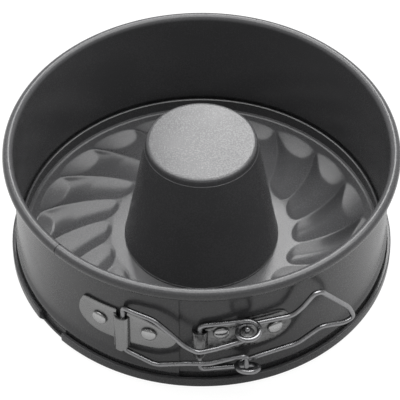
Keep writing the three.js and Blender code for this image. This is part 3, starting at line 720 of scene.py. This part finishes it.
def plate_grid(face, azimuths, low, high, rivets):
    """A leaf of plate on a face of the hoop, between edges given as heights at each azimuth."""
    shares = np.r_[PLATE_EDGE_SHARES, PLATE_MIDDLE_SHARES, 1.0 - PLATE_EDGE_SHARES[::-1]]
    lifts = np.r_[PLATE_EDGE_LIFTS, np.full(len(PLATE_MIDDLE_SHARES), PLATE_SHEET),
                  PLATE_EDGE_LIFTS[::-1]]
    heights = low[:, None] + (high - low)[:, None] * shares[None, :]
    radii = face + np.tile(lifts, (len(azimuths), 1))
    azimuth = np.tile(azimuths[:, None], (1, len(shares)))
    for rivet_azimuth, rivet_height in rivets:
        along = face * np.radians(azimuth - rivet_azimuth)
        away = np.hypot(along, heights - rivet_height)
        dent = 1.0 - smoothstep(DIMPLE_FLAT * DIMPLE_RADIUS, DIMPLE_RADIUS, away)
        on_top = radii > face + 0.5 * PLATE_SHEET
        radii = radii - DIMPLE_DEPTH * dent * on_top
    return around(radii, azimuth, heights), False, True, True


def leaf_columns(start, end, count):
    """Azimuths from start to end, closer together towards both ends, and shares of the way."""
    shares = 0.5 * (1.0 - np.cos(np.linspace(0.0, np.pi, count)))
    return start + (end - start) * shares, shares


def leaf_edge(share, reach, start, fullness):
    """Reach of a plate's edge from its middle, rounded off from a share of the way to its tip."""
    run = np.clip((share - start) / (1.0 - start), 0.0, 1.0)
    return PLATE_TIP + reach * np.sqrt(np.clip(1.0 - run ** fullness, 0.0, 1.0))


def make_catch_plate():
    """Two leaves on the free end, with the link's saddle between them."""
    left, inward = leaf_columns(CATCH_TIPS[0], CATCH_AZIMUTH - CATCH_LEAF_GAP, CATCH_COLUMNS)
    left_low = CATCH_MIDDLE - leaf_edge(1.0 - inward, *CATCH_LEFT_LOW)
    left_high = CATCH_MIDDLE + leaf_edge(1.0 - inward, *CATCH_LEFT_HIGH)
    right, outward = leaf_columns(CATCH_AZIMUTH + CATCH_LEAF_GAP, CATCH_TIPS[1], CATCH_COLUMNS)
    middle = CATCH_MIDDLE - CATCH_TIP_DROP
    right_low = middle - leaf_edge(outward, *CATCH_RIGHT_LOW)
    right_high = middle + PLATE_TIP + CATCH_RIGHT_HIGH * (1.0 - outward ** CATCH_RIGHT_BOW)
    grids = [
        plate_grid(FREE_END_FACE, left, left_low, left_high, CATCH_RIVETS),
        plate_grid(FREE_END_FACE, right, right_low, right_high, CATCH_RIVETS),
        saddle_arch(LINK_LEG_RADIUS, CATCH_AZIMUTH, *CATCH_SADDLE),
    ]
    return skin("catch_plate_pressed", grids, plate_steel)


def make_hinge_plate():
    """One leaf on the inner end, with the lever's saddle at its left."""
    azimuths, share = leaf_columns(HINGE_AZIMUTH + HINGE_LEAF_GAP, HINGE_TIP, HINGE_COLUMNS)
    low = HINGE_MIDDLE - leaf_edge(share, np.interp(share, *HINGE_LOW_REACH), *HINGE_LOW_END)
    high = HINGE_MIDDLE + leaf_edge(share, np.interp(share, *HINGE_HIGH_REACH), *HINGE_HIGH_END)
    grids = [
        plate_grid(INNER_END_FACE, azimuths, low, high, HINGE_RIVETS),
        saddle_arch(LEVER_LEG_RADIUS, HINGE_AZIMUTH, *HINGE_SADDLE),
    ]
    return skin("hinge_plate_pressed", grids, painted_shade_hinge_steel)


def make_rivet(name, seat, azimuth, height):
    """Domed head standing on a plate, with its shank down into the hoop."""
    rim = RIVET_HEIGHT * RIVET_RIM
    turn = np.radians(np.linspace(0, 90, 10))
    section = np.vstack([
        [(0.0, -SHANK_DEPTH), (SHANK_RADIUS, -SHANK_DEPTH)],
        bent([(SHANK_RADIUS, 0.0), (RIVET_RADIUS, 0.0), (RIVET_RADIUS, rim)],
             RIVET_FILLET, steps=4),
        np.c_[RIVET_RADIUS * np.cos(turn), rim + (RIVET_HEIGHT - rim) * np.sin(turn)],
    ])
    centre = around(seat, azimuth, height)
    head = spun(section, centre, heading(azimuth + 90.0), UP, heading(azimuth))
    return skin(name, [head], rivet_steel)


# Wires

def wire(name, points, bend, extras=()):
    """Round wire with domed ends along a line whose corners are bent, and grids that join it."""
    path = evenly(bent(points, bend, steps=10), WIRE_STEP)
    tangents = np.gradient(path, axis=0)
    tangents /= np.linalg.norm(tangents, axis=1)[:, None]
    dome = [(WIRE_RADIUS * math.sin(a), math.cos(a)) for a in np.radians(WIRE_END_TURNS)]
    first, last = tangents[0], tangents[-1]
    places = [(path[0] - first * past, first, share) for past, share in dome]
    places += [(middle, tangent, 1.0) for middle, tangent in zip(path, tangents)]
    places += [(path[-1] + last * past, last, share) for past, share in reversed(dome)]
    turns = (np.arange(WIRE_SIDES) * 2 * np.pi / WIRE_SIDES)[:, None]
    normal = np.cross(first, WIRE_FIRST_SIDE)
    rows = []
    for middle, tangent, share in places:
        normal = normal - tangent * normal.dot(tangent)
        normal /= np.linalg.norm(normal)
        ring = np.cos(turns) * normal + np.sin(turns) * np.cross(tangent, normal)
        rows.append(middle + WIRE_RADIUS * share * ring)
    return skin(name, [(np.array(rows), False, True, True), *extras], bright_wire,
                last_material=head_steel if extras else None)


def bends(rows):
    """Bends of a wire from rows of radius, azimuth and rise."""
    return [around(radius, azimuth, LATCH_HEIGHT + rise) for radius, azimuth, rise in rows]


def upright(radius, azimuth, rises):
    """Ends of an upright run of wire."""
    return bends([(radius, azimuth, rise) for rise in rises])


def hook_head():
    """Upset collar on the upper hook, just below the lever's eye."""
    section = bent([(0.0, -HEAD_HALF), (HEAD_RADIUS, -HEAD_HALF), (HEAD_RADIUS, HEAD_HALF),
                    (0.0, HEAD_CROWN * HEAD_HALF)], HEAD_ROUNDING, steps=5)
    centre = around(HOOK_RADIUS, EYE_AZIMUTH, LATCH_HEIGHT + HEAD_RISE)
    return spun(section, centre, heading(90.0), heading(180.0), UP)


def make_link():
    """Link: a hook through each eye of the lever, two arms, and a leg in the catch's saddle."""
    points = [
        *upright(HOOK_RADIUS, EYE_AZIMUTH, UPPER_HOOK),
        *bends(LINK_UPPER_ARM),
        *upright(LINK_LEG_RADIUS, CATCH_AZIMUTH + LINK_LEG_SHIFT, LINK_LEG),
        *bends(LINK_LOWER_ARM),
        *upright(HOOK_RADIUS, EYE_AZIMUTH, LOWER_HOOK),
    ]
    return wire("link_wire", points, LINK_BEND, [hook_head()])


def eye_turn(start_rise, end_rise, lift, sense):
    """One turn of an eye: it leaves the arm on the hoop's side, swings out and comes back."""
    centre = around(EYE_ARM_RADIUS + EYE_RADIUS, EYE_AZIMUTH, LATCH_HEIGHT)
    inward, along = -heading(EYE_AZIMUTH), sense * heading(EYE_AZIMUTH + 90.0)
    points = []
    for share in np.linspace(0.0, 1.0, EYE_POINTS + 1):
        turn = 2 * np.pi * share
        point = centre + EYE_RADIUS * (math.cos(turn) * inward + math.sin(turn) * along)
        rise = start_rise + share * (end_rise - start_rise)
        point[2] = LATCH_HEIGHT + rise + lift * math.sin(turn / 2) ** 2
        points.append(point)
    return points


def make_lever():
    """Lever: a leg in the hinge's saddle whose ends meet, two eyes, and the looped handle."""
    points = [
        *upright(LEVER_LEG_RADIUS, HINGE_AZIMUTH, LEVER_UPPER_LEG),
        *eye_turn(*UPPER_EYE, 1.0),
        *bends(LEVER_HANDLE),
        *eye_turn(*LOWER_EYE, -1.0),
        *upright(LEVER_LEG_RADIUS, HINGE_AZIMUTH, LEVER_LOWER_LEG),
    ]
    return wire("lever_wire", points, LEVER_BEND)


# Stage

def pale_floor():
    """Floor's material: glows to the eye and to reflections; the glow that reflections see is
    painted darker close to the pan, a painted contact shadow.
    """
    material = bpy.data.materials.new("pale floor")
    material.use_nodes = True
    tree = material.node_tree
    tree.nodes.clear()
    output = tree.nodes.new("ShaderNodeOutputMaterial")
    diffuse = tree.nodes.new("ShaderNodeBsdfDiffuse")
    diffuse.inputs["Color"].default_value = (FLOOR_GREY, FLOOR_GREY, FLOOR_GREY, 1.0)
    glow = tree.nodes.new("ShaderNodeEmission")
    both = tree.nodes.new("ShaderNodeAddShader")
    tree.links.new(diffuse.outputs[0], both.inputs[0])
    tree.links.new(glow.outputs[0], both.inputs[1])
    rays = tree.nodes.new("ShaderNodeLightPath").outputs
    # Painted contact shadow: for reflections only, the glow is darkened by how closed in the floor
    # is near the pan
    closeness = tree.nodes.new("ShaderNodeAmbientOcclusion")
    closeness.inputs["Distance"].default_value = FLOOR_SHADE_REACH
    shade = math_node(tree, "SUBTRACT", 1.0, closeness.outputs["AO"])
    shade = math_node(tree, "MULTIPLY", shade, rays["Is Glossy Ray"])
    level = math_node(tree, "MULTIPLY", math_node(tree, "SUBTRACT", 1.0, shade), FLOOR_GLOW)
    tree.links.new(level, glow.inputs["Strength"])
    seen = math_node(tree, "MAXIMUM", rays["Is Camera Ray"], rays["Is Glossy Ray"])
    seen = math_node(tree, "MAXIMUM", seen, rays["Is Transmission Ray"])
    pick = tree.nodes.new("ShaderNodeMixShader")
    tree.links.new(seen, pick.inputs["Fac"])
    tree.links.new(diffuse.outputs[0], pick.inputs[1])
    tree.links.new(both.outputs[0], pick.inputs[2])
    tree.links.new(pick.outputs[0], output.inputs["Surface"])
    return material


def floor():
    """Plain round floor just under the pan."""
    mesh = bpy.data.meshes.new("floor")
    disc = bmesh.new()
    bmesh.ops.create_circle(disc, cap_ends=True, segments=96, radius=FLOOR_RADIUS)
    disc.to_mesh(mesh)
    disc.free()
    mesh.materials.append(pale_floor())
    obj = bpy.data.objects.new("floor", mesh)
    obj.location.z = -FLOOR_DROP
    bpy.context.scene.collection.objects.link(obj)


def studio_air():
    """Surroundings: dim at the horizon, pale above it, darker overhead."""
    world = bpy.data.worlds.new("studio")
    bpy.context.scene.world = world
    world.use_nodes = True
    tree = world.node_tree
    upward = tree.nodes.new("ShaderNodeSeparateXYZ")
    direction = tree.nodes.new("ShaderNodeTexCoord").outputs["Generated"]
    tree.links.new(direction, upward.inputs[0])
    fade = tree.nodes.new("ShaderNodeValToRGB")
    stops = fade.color_ramp.elements
    for position, level in AIR_LEVELS:
        stop = stops.new(position)
        stop.color = (level, level, level, 1.0)
    stops.remove(stops[0])
    stops.remove(stops[-1])
    tree.links.new(upward.outputs["Z"], fade.inputs["Fac"])
    background = tree.nodes["Background"]
    background.inputs["Strength"].default_value = 1.0
    tree.links.new(fade.outputs["Color"], background.inputs["Color"])


def softbox(name, azimuth, elevation, distance, size, brightness):
    """Area light of a given brightness that looks at the pan from an azimuth and an elevation."""
    data = bpy.data.lights.new(name, "AREA")
    data.shape = "RECTANGLE"
    data.size, data.size_y = size
    data.energy = brightness * math.pi * size[0] * size[1]
    lamp = bpy.data.objects.new(name, data)
    bpy.context.scene.collection.objects.link(lamp)
    tilt = math.radians(elevation)
    place = Vector(distance * (math.cos(tilt) * heading(azimuth) + math.sin(tilt) * UP))
    lamp.location = place + Vector(SOFTBOX_TARGET)
    lamp.rotation_euler = (-place).to_track_quat("-Z", "Y").to_euler()


def photo_camera():
    """Camera in front of the pan, tilted down to it."""
    data = bpy.data.cameras.new("photo camera")
    data.sensor_width = CAMERA_SENSOR
    data.lens = CAMERA_LENS
    data.clip_start, data.clip_end = CAMERA_CLIP
    camera = bpy.data.objects.new("photo_camera", data)
    bpy.context.scene.collection.objects.link(camera)
    tilt = math.radians(CAMERA_ELEVATION)
    back = Vector((0.0, -math.cos(tilt), math.sin(tilt))) * CAMERA_DISTANCE
    camera.location = Vector(CAMERA_TARGET) + back
    camera.rotation_euler = (math.pi / 2 - tilt, 0.0, 0.0)
    bpy.context.scene.camera = camera


photo_camera()

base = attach(make_base(), "base")
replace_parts(base, "base_plate", "base_rim")
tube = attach(make_tube(), "base")
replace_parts(tube, "tube")
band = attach(make_hoop(), "hoop")
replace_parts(band, "hoop")
wrap = make_wrap()
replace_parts(wrap, "hoop_free_end")
around(*BLEND_BACK)
around(*BLEND_FRONT)
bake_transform(wrap)
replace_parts(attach(make_catch_plate(), "free_end"), "catch_plate")
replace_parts(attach(make_hinge_plate(), "hoop"), "hinge_plate")
for plate, body, face, rivets in (("catch", "free_end", FREE_END_FACE, CATCH_RIVETS),
                                  ("hinge", "hoop", INNER_END_FACE, HINGE_RIVETS)):
    seat = face + PLATE_SHEET - DIMPLE_DEPTH
    for i, (azimuth, height) in enumerate(rivets, 1):
        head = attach(make_rivet(f"{plate}_rivet_head_{i}", seat, azimuth, height), body)
        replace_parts(head, f"{plate}_rivet_{i}")
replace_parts(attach(make_link(), "link"), "link_bail")
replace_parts(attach(make_lever(), "lever"), "latch_lever")

floor()
studio_air()
softbox("back softbox", *BACK_SOFTBOX)
softbox("overhead softbox", *OVERHEAD_SOFTBOX)
bpy.context.scene.view_settings.view_transform = "Standard"
